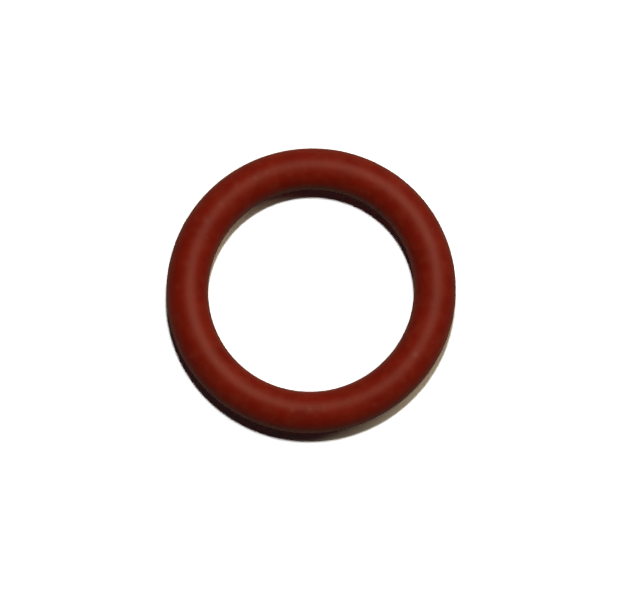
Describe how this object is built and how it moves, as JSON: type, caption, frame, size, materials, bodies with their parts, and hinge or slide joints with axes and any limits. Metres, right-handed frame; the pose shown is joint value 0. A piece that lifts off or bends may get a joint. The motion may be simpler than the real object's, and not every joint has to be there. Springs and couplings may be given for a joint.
{
  "type": "coffee machine seal ring",
  "caption": "Round-section red silicone ring that seals a water fitting of a coffee machine when squeezed between spigot and socket.",
  "frame": {"origin": "centre of the ring, on its axis and in the plane where the two halves of its mould met", "axes": "+Z along the ring's axis, either way round; X and Y lie in the ring's plane"},
  "size_m": [0.014, 0.014, 0.002],
  "materials": {
    "red_silicone": "matte"
  },
  "bodies": {
    "root": {"seal_ring": "red_silicone"}
  },
  "joints": []
}
